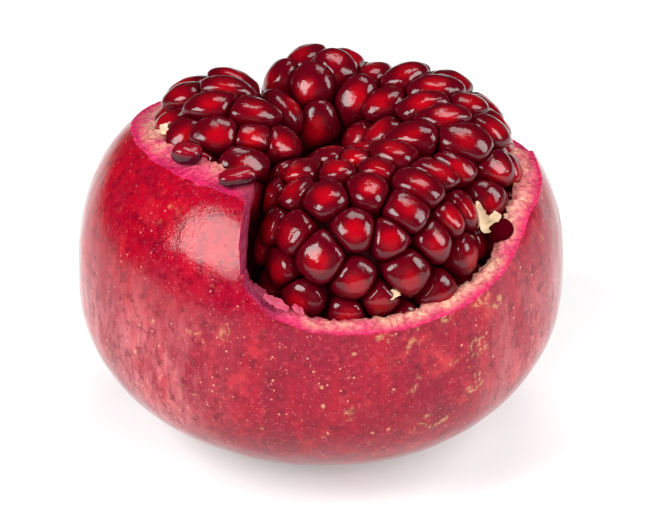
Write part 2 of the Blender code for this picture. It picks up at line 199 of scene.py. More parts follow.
# ------------------------------------------------------------------ materials

class Shader:
    """A Principled material with short helpers for its node tree."""

    def __init__(self, name):
        self.mat = bpy.data.materials.new(name)
        self.mat.use_nodes = True
        self.tree = self.mat.node_tree
        self.main = self.tree.nodes["Principled BSDF"]
        self.out = self.tree.nodes["Material Output"]

    def node(self, kind, **values):
        item = self.tree.nodes.new("ShaderNode" + kind)
        for key, value in values.items():
            if hasattr(item, key):
                setattr(item, key, value)
            else:
                item.inputs[key].default_value = value
        return item

    def link(self, source, target):
        self.tree.links.new(source, target)

    def set(self, name, value):
        self.main.inputs[name].default_value = value

    def coords(self, scale=(1.0, 1.0, 1.0)):
        place = self.node("TexCoord")
        mapping = self.node("Mapping")
        mapping.inputs["Scale"].default_value = scale
        self.link(place.outputs["Object"], mapping.inputs["Vector"])
        return mapping.outputs["Vector"]

    def noise(self, coords, scale, detail=3.0, rough=0.5):
        item = self.node("TexNoise", Scale=scale, Detail=detail, Roughness=rough)
        self.link(coords, item.inputs["Vector"])
        return item.outputs["Fac"]

    def ramp(self, value, stops):
        item = self.node("ValToRGB")
        elements = item.color_ramp.elements
        while len(elements) < len(stops):
            elements.new(0.5)
        for element, (place, colour) in zip(elements, stops):
            element.position = place
            if isinstance(colour, (int, float)):
                colour = (colour, colour, colour)
            element.color = (*colour, 1.0)
        self.link(value, item.inputs["Fac"])
        return item.outputs["Color"]

    def mix(self, fac, first, second):
        item = self.node("Mix", data_type="RGBA")
        for socket, value in (("Factor", fac), ("A", first), ("B", second)):
            target = [s for s in item.inputs if s.name == socket and s.enabled][0]
            if isinstance(value, bpy.types.NodeSocket):
                self.link(value, target)
            elif isinstance(value, tuple):
                target.default_value = (*value, 1.0)
            else:
                target.default_value = value
        return [s for s in item.outputs if s.enabled][0]

    def math(self, kind, first, second=0.0):
        item = self.node("Math", operation=kind)
        for target, value in zip(item.inputs, (first, second)):
            if isinstance(value, bpy.types.NodeSocket):
                self.link(value, target)
            else:
                target.default_value = value
        return item.outputs["Value"]

    def scaled(self, value, factor, start=0.0):
        """start + factor * value; start may be a socket."""
        result = self.math("MULTIPLY_ADD", value, factor)
        target = result.node.inputs[2]
        if isinstance(start, bpy.types.NodeSocket):
            self.link(start, target)
        else:
            target.default_value = start
        return result

    def limited(self, value, low, high):
        return self.math("MINIMUM", self.math("MAXIMUM", value, low), high)

    def soft(self, value, low, high):
        item = self.node("MapRange", interpolation_type="SMOOTHSTEP")
        item.inputs["From Min"].default_value = low
        item.inputs["From Max"].default_value = high
        self.link(value, item.inputs["Value"])
        return item.outputs["Result"]

    def attribute(self, name):
        return self.node("Attribute", attribute_name=name).outputs["Fac"]

    def bump(self, height, distance, strength=1.0, before=None):
        item = self.node("Bump", Distance=distance, Strength=strength)
        self.link(height, item.inputs["Height"])
        if before is not None:
            self.link(before, item.inputs["Normal"])
        return item.outputs["Normal"]


def specks(shader, coords, scale, size, share):
    """Small round spots scattered at random, 1 in a spot's middle."""
    cells = shader.node("TexVoronoi", Scale=scale, Randomness=1.0)
    shader.link(coords, cells.inputs["Vector"])
    parts = shader.node("SeparateColor")
    shader.link(cells.outputs["Color"], parts.inputs["Color"])
    chosen = shader.math("LESS_THAN", parts.outputs["Red"], share)
    reach = shader.scaled(parts.outputs["Green"], size * 0.8, size * 0.35)
    near = shader.math("SUBTRACT", reach, cells.outputs["Distance"])
    edge = shader.math("MULTIPLY", near, 1.6 / size)
    return shader.math("MULTIPLY", shader.limited(edge, 0.0, 1.0), chosen)


def weathering(s, position, warp):
    """Share of weathered skin: more to the front, low down and on the right."""
    front = s.scaled(position.outputs["Y"], -9.0, 0.35)
    low = s.scaled(position.outputs["Z"], -18.0, 0.75)
    side = s.math("MULTIPLY", position.outputs["X"], 8.0)
    amount = s.math("ADD", s.math("ADD", front, low), side)
    amount = s.math("ADD", amount, s.math("MULTIPLY", warp, 0.8))
    return s.limited(amount, 0.15, 1.0)


def skin_tones(s, plain, amount):
    """Crimson with darker clouds, a weathered tone and patches of blush."""
    base = s.ramp(s.noise(plain, 26.0, 4.0, 0.6), [
        (0.34, (0.20, 0.0002, 0.003)), (0.5, (0.30, 0.0003, 0.005)),
        (0.68, (0.38, 0.0005, 0.008)),
    ])
    base = s.mix(s.math("MULTIPLY", amount, 0.75), base, (0.175, 0.0015, 0.019))
    clouds = s.ramp(s.noise(plain, 62.0, 5.0, 0.65), [(0.40, 0.55), (0.56, 0.0)])
    base = s.mix(clouds, base, (0.16, 0.002, 0.016))
    blush = s.ramp(s.noise(plain, 95.0, 4.0, 0.6), [(0.58, 0.0), (0.72, 0.7)])
    return s.mix(s.math("MULTIPLY", blush, amount), base, (0.48, 0.034, 0.040))


def streaks_and_painted_reflections(s, base, position):
    """Upright streaks, and pale painted reflections low on both sides."""
    streaks = s.noise(s.coords((1.0, 1.0, 0.10)), 300.0, 5.0, 0.66)
    base = s.mix(s.ramp(streaks, [(0.45, 0.0), (0.72, 0.5)]), base, (0.42, 0.003, 0.014))
    # The pale strands on the two sides, low down, are a painted reflection.
    aside = s.math("ABSOLUTE", s.math("SUBTRACT", position.outputs["X"], 0.006))
    reflection_sides = s.soft(aside, 0.020, 0.038)
    reflection_low = s.math("SUBTRACT", 1.0, s.soft(position.outputs["Z"], 0.028, 0.056))
    reflection_strands = s.noise(s.coords((1.0, 1.0, 0.30)), 130.0, 9.0, 0.80)
    pale = s.math("MULTIPLY", s.soft(reflection_strands, 0.38, 0.64), reflection_sides)
    pale = s.math("MULTIPLY", pale, s.math("MULTIPLY", reflection_low, 0.68))
    return s.mix(pale, base, (0.54, 0.17, 0.18))


def skin_mottles(s, base, plain, amount):
    mottles = s.noise(plain, 420.0, 5.0, 0.72)
    base = s.mix(s.ramp(mottles, [(0.34, 0.85), (0.50, 0.0)]), base, (0.11, 0.001, 0.009))
    freckles = s.math("MULTIPLY", s.soft(s.noise(plain, 800.0, 4.0, 0.7), 0.50, 0.68), amount)
    return s.mix(s.math("MULTIPLY", freckles, 0.40), base, (0.38, 0.030, 0.052))


def unevenly(s, plain):
    """The same place moved a little at random, so that spots are not round."""
    jitter = s.node("TexNoise", Scale=900.0, Detail=2.0)
    s.link(plain, jitter.inputs["Vector"])
    scaled = s.node("VectorMath", operation="SCALE")
    scaled.inputs["Scale"].default_value = 0.0007
    s.link(jitter.outputs["Color"], scaled.inputs[0])
    shaken = s.node("VectorMath", operation="ADD")
    s.link(plain, shaken.inputs[0])
    s.link(scaled.outputs["Vector"], shaken.inputs[1])
    return shaken.outputs["Vector"]


def skin_scabs(s, plain, amount):
    """Tan crusts, crowded below the rim on the right."""
    below_rim = s.node("VectorMath", operation="DISTANCE")
    below_rim.inputs[1].default_value = SCAB_PLACE
    s.link(plain, below_rim.inputs[0])
    crowd = s.math("SUBTRACT", 1.0, s.soft(below_rim.outputs["Value"], 0.004, 0.018))
    field = s.scaled(crowd, 0.14, s.noise(plain, 150.0, 3.0, 0.6))
    crust = s.soft(s.noise(plain, 900.0, 4.0, 0.7), 0.44, 0.60)
    return s.math("MULTIPLY", s.math("MULTIPLY", s.soft(field, 0.63, 0.74), crust), amount)


def skin_material():
    """Glossy leathery skin: crimson, streaked, with painted pale reflections low on both sides,
    pale specks and tan scabs.
    """
    s = Shader("rind_skin")
    plain = s.coords()
    warp = s.noise(plain, 55.0, 4.0, 0.6)
    position = s.node("SeparateXYZ")
    s.link(s.node("TexCoord").outputs["Object"], position.inputs["Vector"])
    amount = weathering(s, position, warp)
    base = streaks_and_painted_reflections(s, skin_tones(s, plain, amount), position)
    base = skin_mottles(s, base, plain, amount)
    uneven = unevenly(s, plain)
    tiny = specks(s, uneven, 1700.0, 0.36, 0.34)
    small = specks(s, uneven, 760.0, 0.22, 0.38)
    large = specks(s, uneven, 300.0, 0.17, 0.24)
    base = s.mix(s.math("MULTIPLY", tiny, s.scaled(amount, 0.45, 0.12)), base, (0.50, 0.13, 0.12))
    base = s.mix(s.math("MULTIPLY", small, amount), base, (0.58, 0.22, 0.17))
    base = s.mix(s.math("MULTIPLY", large, amount), base, (0.46, 0.20, 0.11))
    scabs = skin_scabs(s, plain, amount)
    base = s.mix(s.math("MULTIPLY", scabs, 0.85), base, (0.42, 0.22, 0.11))
    s.link(base, s.main.inputs["Base Color"])
    rough = s.ramp(s.noise(plain, 180.0, 3.0, 0.6), [(0.3, 0.05), (0.7, 0.11)])
    rough = s.mix(scabs, rough, (0.6, 0.6, 0.6))
    s.link(rough, s.main.inputs["Roughness"])
    hills = s.noise(s.coords((1.0, 1.0, 0.5)), 240.0, 4.0, 0.6)
    grain = s.noise(plain, 800.0, 4.0, 0.7)
    normal = s.bump(hills, 0.00036, 0.28)
    normal = s.bump(grain, 0.00014, 0.4, normal)
    normal = s.bump(small, 0.00010, 0.6, normal)
    s.link(normal, s.main.inputs["Normal"])
    s.set("IOR", 1.45)
    s.set("Specular IOR Level", 0.28)
    return s.mat


def cut_material():
    """Cut face of the rind: magenta skin edge, pink flesh, creamy pith inside, with painted shade
    darkening the crimson torn wall at the step and filling the empty socket.
    """
    s = Shader("rind_cut")
    plain = s.coords()
    across = s.attribute("across")
    cream_and_step_shade = s.attribute("cream_and_step_shade")
    wobble = s.scaled(s.noise(plain, 420.0, 4.0, 0.65), 0.30, -0.15)
    place = s.math("ADD", across, wobble)
    pale = s.ramp(place, [
        (0.09, (0.52, 0.012, 0.070)), (0.18, (0.56, 0.070, 0.120)),
        (0.32, (0.62, 0.21, 0.17)), (0.58, (0.70, 0.44, 0.28)),
    ])
    deep = s.ramp(place, [
        (0.09, (0.62, 0.003, 0.095)), (0.24, (0.52, 0.012, 0.085)),
        (0.52, (0.62, 0.075, 0.145)), (0.92, (0.50, 0.090, 0.110)),
    ])
    patches = s.noise(plain, 170.0, 4.0, 0.6)
    share = s.limited(s.math("ADD", s.scaled(patches, 3.0, -1.5), cream_and_step_shade), 0.0, 1.0)
    colour = s.mix(share, deep, pale)
    beads = s.node("TexVoronoi", Scale=1500.0)
    s.link(plain, beads.inputs["Vector"])
    bead = s.ramp(beads.outputs["Distance"], [(0.10, 1.0), (0.45, 0.0)])
    skin_side = s.ramp(place, [(0.06, 0.9), (0.30, 0.0)])
    colour = s.mix(s.math("MULTIPLY", bead, skin_side), colour, (0.72, 0.12, 0.22))
    veins = s.noise(plain, 900.0, 4.0, 0.7)
    colour = s.mix(s.ramp(veins, [(0.42, 0.65), (0.58, 0.0)]), colour, (0.28, 0.005, 0.045))
    # At the step the torn wall is deep crimson tissue, darkened further as painted shade.
    step = s.limited(s.math("MULTIPLY", cream_and_step_shade, -1.6), 0.0, 0.9)
    torn = s.ramp(place, [
        (0.10, (0.28, 0.002, 0.040)), (0.35, (0.12, 0.001, 0.022)),
        (0.8, (0.17, 0.002, 0.030)),
    ])
    colour = s.mix(step, colour, torn)
    # Painted shade in the empty socket: near black, with its gloss taken away below.
    socket_shade = s.attribute("socket_shade")
    colour = s.mix(socket_shade, colour, (0.050, 0.0002, 0.003))
    s.link(colour, s.main.inputs["Base Color"])
    s.set("Roughness", 0.38)
    gloss = s.math("MULTIPLY", s.math("SUBTRACT", 1.0, socket_shade), 0.28)
    s.link(gloss, s.main.inputs["Specular IOR Level"])
    s.set("Subsurface Weight", 0.12)
    s.set("Subsurface Radius", (0.0012, 0.0005, 0.0004))
    normal = s.bump(s.noise(plain, 520.0, 5.0, 0.7), 0.0007, 1.0)
    normal = s.bump(veins, 0.0003, 0.9, normal)
    s.link(normal, s.main.inputs["Normal"])
    return s.mat


def pith_material(name, tint):
    s = Shader(name)
    plain = s.coords()
    colour = s.ramp(s.noise(plain, 240.0, 4.0, 0.6), [
        (0.3, tuple(0.72 * c for c in tint)), (0.62, tint),
    ])
    colour = s.mix(s.ramp(s.noise(plain, 90.0, 3.0, 0.6), [(0.52, 0.0), (0.75, 0.7)]),
                   colour, (0.30, 0.06, 0.085))
    s.link(colour, s.main.inputs["Base Color"])
    s.set("Roughness", 0.5)
    s.set("Subsurface Weight", 0.3)
    s.set("Subsurface Radius", (0.0014, 0.0008, 0.0006))
    s.link(s.bump(s.noise(plain, 700.0, 4.0, 0.65), 0.0003, 0.7), s.main.inputs["Normal"])
    return s.mat


def aril_material(name, clear, rim, colour, density):
    """Wet flesh that soaks up everything but red over its depth; its colour is painted light, a
    bright glow over the seed and painted shade round the edge.
    """
    s = Shader(name)
    plain = s.coords()
    core = s.attribute("core")
    wobble = s.scaled(s.noise(plain, 330.0, 4.0, 0.65), 0.9, -0.45)
    wobble = s.math("MULTIPLY", wobble, s.soft(core, 0.0, 0.4))
    painted_glow = s.soft(s.math("ADD", core, wobble), 0.0, 1.0)
    # rim is the painted shade at the edge, colour the painted glow over the seed.
    s.link(s.mix(painted_glow, rim, colour), s.main.inputs["Base Color"])
    s.set("Transmission Weight", clear)
    s.set("IOR", 1.12)
    s.set("Roughness", 0.30)
    s.set("Specular IOR Level", 0.06)
    s.set("Coat Weight", 1.0)
    s.set("Coat IOR", 1.38)
    s.set("Coat Roughness", 0.08)
    folds = s.noise(s.coords((1.0, 1.0, 0.7)), 420.0, 3.0, 0.55)
    creases = s.noise(s.coords((1.0, 1.0, 0.45)), 1100.0, 3.0, 0.6)
    normal = s.bump(folds, 0.00030, 0.55)
    normal = s.bump(creases, 0.00012, 0.30, normal)
    s.link(normal, s.main.inputs["Normal"])
    s.link(normal, s.main.inputs["Coat Normal"])
    volume = s.node("VolumeAbsorption")
    volume.inputs["Color"].default_value = (0.55, 0.03, 0.12, 1.0)
    volume.inputs["Density"].default_value = density
    s.link(volume.outputs["Volume"], s.out.inputs["Volume"])
    return s.mat


def seed_material():
    s = Shader("aril_seed")
    plain = s.coords()
    colour = s.ramp(s.noise(plain, 300.0, 3.0, 0.6), [
        (0.35, (0.80, 0.05, 0.03)), (0.65, (0.95, 0.11, 0.06)),
    ])
    s.link(colour, s.main.inputs["Base Color"])
    s.set("Roughness", 0.6)
    return s.mat


def bed_shade_material():
    s = Shader("pulp_bed_painted_shade")
    plain = s.coords()
    # Near-black red: painted shade in the gaps between the arils.
    colour = s.ramp(s.noise(plain, 160.0, 3.0, 0.6), [
        (0.35, (0.035, 0.0008, 0.003)), (0.65, (0.10, 0.002, 0.008)),
    ])
    s.link(colour, s.main.inputs["Base Color"])
    s.set("Roughness", 0.35)
    s.link(s.bump(s.noise(plain, 260.0, 3.0, 0.6), 0.0008, 0.8), s.main.inputs["Normal"])
    return s.mat


# --------------------------------------------------------------------- meshes

def add_mesh(name, points, faces, mats):
    mesh = bpy.data.meshes.new(name)
    mesh.from_pydata(np.asarray(points).tolist(), [], faces)
    for mat in mats:
        mesh.materials.append(mat)
    mesh.shade_smooth()
    obj = bpy.data.objects.new(name, mesh)
    bpy.context.scene.collection.objects.link(obj)
    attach(obj, "root")
    return obj


def store(obj, name, values):
    layer = obj.data.attributes.new(name, "FLOAT", "POINT")
    layer.data.foreach_set("value", np.asarray(values, dtype=np.float32))


def unit_sphere(subdivisions):
    bm = bmesh.new()
    bmesh.ops.create_icosphere(bm, subdivisions=subdivisions, radius=1.0)
    rays = np.array([vertex.co[:] for vertex in bm.verts])
    faces = np.array([[v.index for v in face.verts] for face in bm.faces])
    bm.free()
    return rays / np.linalg.norm(rays, axis=1)[:, None], faces


# ----------------------------------------------------------------------- rind

# Columns of the mesh: from, to and step in degrees, finer where the rim changes fast.
COLUMN_RANGES = (
    (-180.0, 180.0, 1.0), (-112.0, 100.0, 0.4), (-27.0, -6.0, 0.25), (50.0, 70.0, 0.33),
)
COLUMN_GAP = 0.15
WALL_ROWS = 70
CUT_ROWS = 16
LINING_ROWS = 22
CUT_ROWS_BELOW_LIP = 3
NOISE_RING = 50.0
SOCKET_START = 0.15


def rind_azimuths():
    """Columns about a degree apart, closer at the step and at the socket."""
    turns = [turn for span in COLUMN_RANGES for turn in np.arange(*span)]
    kept = []
    for turn in sorted(turns):
        if not kept or turn - kept[-1] > COLUMN_GAP:
            kept.append(float(turn))
    return kept


def ring_place(azimuth):
    """Where the noise that depends on the azimuth alone is read."""
    turn = math.radians(azimuth)
    return (math.cos(turn) * NOISE_RING, math.sin(turn) * NOISE_RING, 0.0)


def skin_edge_height(azimuth, rim):
    """Height of the sharp edge between skin and cut, torn along the step."""
    edge = ring_place(azimuth)
    torn = math.exp(-((azimuth - STEP_AZIMUTH) / 3.0) ** 2)
    height = rim + 0.30 * lumps(edge, 6.0, 1.0) + 0.16 * lumps(edge, 1.7, 2.0)
    return height + STEP_TEAR * lumps(edge, 0.6, 11.0) * torn


def lip_raggedness(azimuth):
    """How far the inner edge of the cut strays outwards."""
    edge = ring_place(azimuth)
    ragged = 0.7 * lumps(edge, 4.2, 5.0) + 0.6 * lumps(edge, 1.5, 6.0)
    ragged += 0.35 * lumps(edge, 0.7, 9.0)
    near_step = math.exp(-((azimuth - STEP_AZIMUTH) / 5.0) ** 2)
    ragged *= 1.0 + STEP_RAGGEDNESS * near_step
    return ragged + CORNER_THINNING * math.exp(-((azimuth - CORNER_AZIMUTH) / 5.0) ** 2)


def wall_points(azimuth, skin_edge):
    """Outer wall from the foot up to the edge of the skin, a little swollen."""
    points = []
    for row in range(WALL_ROWS + 1):
        part = row / WALL_ROWS
        height = -EQUATOR_HEIGHT + (skin_edge + EQUATOR_HEIGHT) * part ** 1.25
        radius = float(outer_radius(height)) + ripple(azimuth, height)
        place = around(azimuth, radius, height)
        fade = min(1.0, (height + EQUATOR_HEIGHT) / 8.0)
        swell = 0.30 * lumps(place * (1.0, 1.0, 0.45), 13.0, 3.0)
        swell += 0.09 * lumps(place, 4.5, 4.0)
        points.append(around(azimuth, radius + swell * fade, height))
    return points


def cut_points(azimuth, skin_edge, top, lip):
    """Cut face from the skin's edge in to the lip, rough and sagging inwards."""
    sag = 0.7 + 0.6 * lumps(ring_place(azimuth), 5.0, 7.0)
    points = []
    for row in range(1, CUT_ROWS + 1):
        part = row / CUT_ROWS
        radius = top + (lip - top) * part
        dip = 0.22 * smooth_step(part, 0.02, 0.12) + sag * smooth_step(part, 0.7, 1.0)
        place = around(azimuth, radius, skin_edge)
        rough = 0.34 * lumps(place, 2.4, 8.0) + 0.22 * lumps(place, 0.9, 10.0)
        rise = rough * smooth_step(part, 0.08, 0.3) + RIM_RISE * (top - radius)
        points.append(around(azimuth, radius, skin_edge - dip + rise))
    return points


def lining_points(azimuth, start, rim, ragged):
    """Inner wall from the lip down to the floor."""
    points = []
    for row in range(1, LINING_ROWS + 1):
        part = (1.0 - math.cos(row / LINING_ROWS * math.pi)) / 2
        height = start - (start + FLOOR_DEPTH) * part
        blend = smooth_step(part, 0.0, 0.12)
        wall = float(inner_radius(min(height, rim)))
        points.append(around(azimuth, wall + ragged * (1.0 - blend), height))
    return points


def rind_column(azimuth):
    rim = float(soft_rim_height(azimuth, 0.9))
    skin_edge = skin_edge_height(azimuth, rim)
    ragged = lip_raggedness(azimuth)
    wall = wall_points(azimuth, skin_edge)
    top = np.hypot(wall[-1][0], wall[-1][1])
    cut = cut_points(azimuth, skin_edge, top, float(inner_radius(rim)) + ragged)
    return wall + cut + lining_points(azimuth, cut[-1][2], rim, ragged)


def creaminess(azimuths):
    table = np.array(RIM_PALENESS)
    return np.interp(azimuths, table[:, 0], table[:, 1])


def press_socket(points, across):
    """Push the empty socket into the cut and say how deep in it each point is, which sets its
    painted shade.
    """
    socket = around(*SOCKET)
    offset = points - socket
    distance = np.linalg.norm(offset, axis=1)
    on_cut = across > SOCKET_START
    pushed = socket + offset / distance[:, None] * SOCKET_RADIUS
    deep = on_cut & (distance < SOCKET_RADIUS)
    inside = smooth_step(SOCKET_RADIUS + 0.15 - distance, 0.0, 0.5)
    return np.where(deep[:, None], pushed, points), np.where(on_cut, inside, 0.0)


def rind_faces(count, length):
    """Quads between the columns, closed by fans to the last two points, and
    the material of each: 0 skin, 1 cut, 2 lining."""
    faces = []
    slots = []
    base = count * length
    for i in range(count):
        here = i * length
        there = (i + 1) % count * length
        for k in range(length - 1):
            faces.append((here + k, there + k, there + k + 1, here + k + 1))
            slots.append(int(k >= WALL_ROWS) + int(k >= WALL_ROWS + CUT_ROWS + CUT_ROWS_BELOW_LIP))
    for i in range(count):
        here = i * length
        there = (i + 1) % count * length
        faces.append((base, there, here))
        slots.append(0)
        faces.append((base + 1, here + length - 1, there + length - 1))
        slots.append(2)
    return faces, slots


def sharpen_skin_edge(obj, count, length):
    edges = set()
    for i in range(count):
        here = i * length + WALL_ROWS
        there = (i + 1) % count * length + WALL_ROWS
        edges.add((min(here, there), max(here, there)))
    sharp = [tuple(sorted(edge.vertices)) in edges for edge in obj.data.edges]
    layer = obj.data.attributes.new("sharp_edge", "BOOLEAN", "EDGE")
    layer.data.foreach_set("value", sharp)


def build_rind(skin, cut, pith):
    columns = np.array([rind_column(azimuth) for azimuth in rind_azimuths()])
    count, length = columns.shape[:2]
    rows = np.clip((np.arange(length) - WALL_ROWS) / CUT_ROWS, 0.0, 1.0)
    across = np.tile(rows, count)
    points, socket_shade = press_socket(columns.reshape(-1, 3), across)
    ends = np.array([[0.0, 0.0, -EQUATOR_HEIGHT], [0.0, 0.0, -FLOOR_DEPTH]])
    points = np.concatenate([points, ends])
    faces, slots = rind_faces(count, length)
    obj = add_mesh("rind_detail", lift(points), faces, (skin, cut, pith))
    obj.data.polygons.foreach_set("material_index", slots)
    store(obj, "across", np.append(across, (0.0, 1.0)))
    store(obj, "socket_shade", np.append(socket_shade, (0.0, 0.0)))
    turns = azimuth_of(columns).ravel()
    store(obj, "cream_and_step_shade", np.append(creaminess(turns), (1.0, 1.0)))
    sharpen_skin_edge(obj, count, length)
    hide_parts("rind")


# ---------------------------------------------------------------------- arils

def chamber_axes(azimuth):
    turn = math.radians(azimuth)
    return np.array([
        [math.sin(turn), -math.cos(turn), 0.0],
        [math.cos(turn), math.sin(turn), 0.0],
        [0.0, 0.0, 1.0],
    ])


def chamber_level(points, name, depth):
    centre, radii, azimuth, power = CHAMBERS[name]
    local = (points - np.array(centre)) @ chamber_axes(azimuth).T
    parts = np.abs(local / (np.array(radii) - depth)) ** power
    return np.sum(parts, axis=-1) ** (1.0 / power)


def pulp_level(points, name, depth):
    """Below 1 inside the pulp: the joined chambers run into each other."""
    level = chamber_level(points, name, depth)
    if name in JOINED:
        total = 0.0
        for other in JOINED:
            part = np.maximum(chamber_level(points, other, depth), 0.05)
            total = total + part ** -BLEND
        level = total ** (-1.0 / BLEND)
    for centre, radii in HOLLOWS:
        offset = (points - np.array(centre)) / (np.array(radii) + depth)
        level = np.maximum(level, 2.0 - np.linalg.norm(offset, axis=-1))
    return level


def skin_normals(points, depth):
    """Direction out of the pulp's skin at each point."""
    step = 0.2
    slope = np.zeros_like(points)
    for axis in range(3):
        shift = np.zeros(3)
        shift[axis] = step
        for sign in (1.0, -1.0):
            there = points + sign * shift
            level = np.minimum(pulp_level(there, "left", depth), pulp_level(there, "front", depth))
            slope[:, axis] += sign * level
    return slope / np.linalg.norm(slope, axis=1)[:, None]


def pulp_limit(points, gap, lean):
    """Largest radius of the pulp: clear of the wall, leaning out above the rim."""
    height = points[..., 2]
    rim = rim_height(azimuth_of(points))
    wall = inner_radius(np.minimum(height, rim)) - gap
    return wall + lean * np.clip(height - rim, 0.0, 20.0)


def push_to_skin(offsets, name, depth):
    """Move places out from a chamber's middle to the pulp's skin, by halving."""
    centre = np.array(CHAMBERS[name][0])
    near = np.ones(len(offsets))
    far = np.full(len(offsets), 1.6)
    for _ in range(SEARCH_ROUNDS):
        middle = (near + far) / 2
        inside = pulp_level(centre + offsets * middle[:, None], name, depth) < 1.0
        near = np.where(inside, middle, near)
        far = np.where(inside, far, middle)
    return centre + offsets * near[:, None]


def even_offsets(rng, name):
    """Places spread evenly over one chamber's ellipsoid, from its middle."""
    radii = np.array(CHAMBERS[name][1]) - ARIL_DEPTH
    count = int(4 * math.pi * radii.max() ** 2 * CANDIDATES_PER_MM2 * CANDIDATE_SPARE)
    rays = rng.normal(size=(count, 3))
    rays /= np.linalg.norm(rays, axis=1)[:, None]
    stretch = np.linalg.norm(rays * radii.prod() / radii, axis=1)
    area = 4 * math.pi * stretch.mean()
    rays = rays[rng.uniform(size=count) * stretch.max() < stretch]
    rays = rays[:int(area * CANDIDATES_PER_MM2)]
    return (rays * radii) @ chamber_axes(CHAMBERS[name][2])


def on_own_skin(points, name):
    """True where a place is on the pulp's skin and nearest to its own chamber."""
    own = chamber_level(points, name, ARIL_DEPTH)
    side = "front" if name == "left" else "left"
    keep = pulp_level(points, side, ARIL_DEPTH) > 1.0
    keep &= np.abs(pulp_level(points, name, ARIL_DEPTH) - 1.0) < SKIN_TOLERANCE
    for other in CHAMBERS:
        if other != name:
            keep &= chamber_level(points, other, ARIL_DEPTH) > own
    return keep


def skin_candidates(rng):
    """Many places where the middle of an aril could be, and the chamber of each."""
    points = []
    owners = []
    for index, name in enumerate(CHAMBERS):
        found = push_to_skin(even_offsets(rng, name), name, ARIL_DEPTH)
        found = found[on_own_skin(found, name)]
        reach = np.hypot(found[:, 0], found[:, 1])
        limit = pulp_limit(found, ARIL_WALL_GAP, ARIL_OVERHANG)
        found[:, :2] *= np.minimum(1.0, limit / reach)[:, None]
        found = found[found[:, 2] > rim_height(azimuth_of(found)) - ARIL_COVER]
        points.append(found)
        owners += [index] * len(found)
    return np.concatenate(points), np.array(owners)


def aril_axes(points, owners):
    """Long axis of an aril at each place: out from the fruit's middle, and
    upright in the chamber at the back."""
    level = points * (1.0, 1.0, 0.0)
    level /= np.linalg.norm(level, axis=1)[:, None]
    axes = level + np.array([0.0, 0.0, 0.22])
    back = owners == list(CHAMBERS).index("back")
    inner = back & (points[:, 1] < 24.0)
    axes[inner] = axes[inner] * 0.25 + np.array([0.0, 0.0, 1.0])
    return axes / np.linalg.norm(axes, axis=1)[:, None]


def aril_count(axes, normals):
    """How many arils fill the skin: fewer where they lie along it than on end."""
    lying = 1.0 - np.sum(axes * normals, axis=1) ** 2
    room = np.sqrt(1.0 + (ARIL_STRETCH ** 2 - 1.0) * lying)
    cell = ARIL_SPACING ** 2 * math.sqrt(3) / 2
    return int(CROWDING * np.sum(1.0 / room) / CANDIDATES_PER_MM2 / cell)


def spread_out(points, axes, first, count):
    """Candidates picked one by one, each farthest from those before it."""
    squeeze = 1.0 - 1.0 / ARIL_STRETCH ** 2
    chosen = [first]
    nearest = np.full(len(points), np.inf)
    for _ in range(count - 1):
        step = points - points[chosen[-1]]
        gap = np.sum(step ** 2, axis=1) - squeeze * np.sum(step * axes, axis=1) ** 2
        nearest = np.minimum(nearest, gap)
        chosen.append(int(np.argmax(nearest)))
    return np.array(chosen)


def pack_arils():
    """Middle, long axis, outward direction, chamber and extra size of each aril."""
    rng = np.random.default_rng(SEED)
    points, owners = skin_candidates(rng)
    axes = aril_axes(points, owners)
    normals = skin_normals(points, ARIL_DEPTH)
    count = aril_count(axes, normals)
    squeeze = 1.0 - 1.0 / ARIL_STRETCH ** 2
    chosen = spread_out(points, axes, int(rng.integers(len(points))), count)
    size = np.clip(rng.normal(size=count) * 0.5, -1.6, 0.8)
    for _ in range(PACKING_ROUNDS):
        step = points[:, None] - points[chosen][None]
        along = np.einsum("ijk,ik->ij", step, axes)
        gaps = np.sqrt(np.sum(step ** 2, axis=2) - squeeze * along ** 2) - size
        owner = gaps.argmin(axis=1)
        for i in range(count):
            mine = np.flatnonzero(owner == i)
            if len(mine):
                middle = points[mine].mean(axis=0)
                best = np.linalg.norm(points[mine] - middle, axis=1).argmin()
                chosen[i] = mine[best]
    return points[chosen], axes[chosen], normals[chosen], owners[chosen], size


def aril_radii(rays, index, centres, axes, normals, size):
    """How far one aril reaches along each ray, pressed flat by its neighbours."""
    axis = axes[index]
    squash = np.eye(3) - (1.0 - 1.0 / ARIL_STRETCH) * np.outer(axis, axis)
    local = rays @ squash
    reach = ARIL_SPACING * ARIL_REACH + size[index] * 0.7
    normal = normals[index] @ squash
    normal /= np.linalg.norm(normal)
    upright = local @ normal
    flat = np.sum(local ** 2, axis=1) + (ARIL_FLATNESS ** 2 - 1.0) * upright ** 2
    crowd = (np.sqrt(flat) / reach) ** ARIL_POWER
    steps = centres - centres[index]
    near = np.flatnonzero(np.linalg.norm(steps, axis=1) < NEIGHBOUR_REACH)
    for other in near[near != index]:
        step = steps[other] @ squash
        gap = np.linalg.norm(step)
        half = gap / 2 + (size[index] - size[other]) / 2
        if half < reach * 1.4:
            lean = np.clip(local @ (step / gap), 0.0, None)
            crowd += (lean / max(half, 1.2)) ** ARIL_POWER
    above = centres[index][2] - rim_height(azimuth_of(centres[index]))
    parted = 1.0 - LOW_PARTING * (1.0 - smooth_step(above, 0.0, 9.0))
    return parted * crowd ** (-1.0 / ARIL_POWER)


def painted_glow_share(offsets, glow_direction, axis):
    """Painted glow: 1 over the seed, where the flesh is painted bright as if light shone through
    it, and 0 round the aril's edge, left as painted shade.
    """
    squash = np.eye(3) - (1.0 - 1.0 / ARIL_STRETCH) * np.outer(axis, axis)
    local = offsets @ squash
    along = local @ glow_direction
    aside = np.linalg.norm(local - along[:, None] * glow_direction, axis=1)
    share = 1.0 - smooth_step(aside, 0.10 * ARIL_SPACING, 0.50 * ARIL_SPACING)
    return share * smooth_step(along, 0.0, 0.25 * ARIL_SPACING)


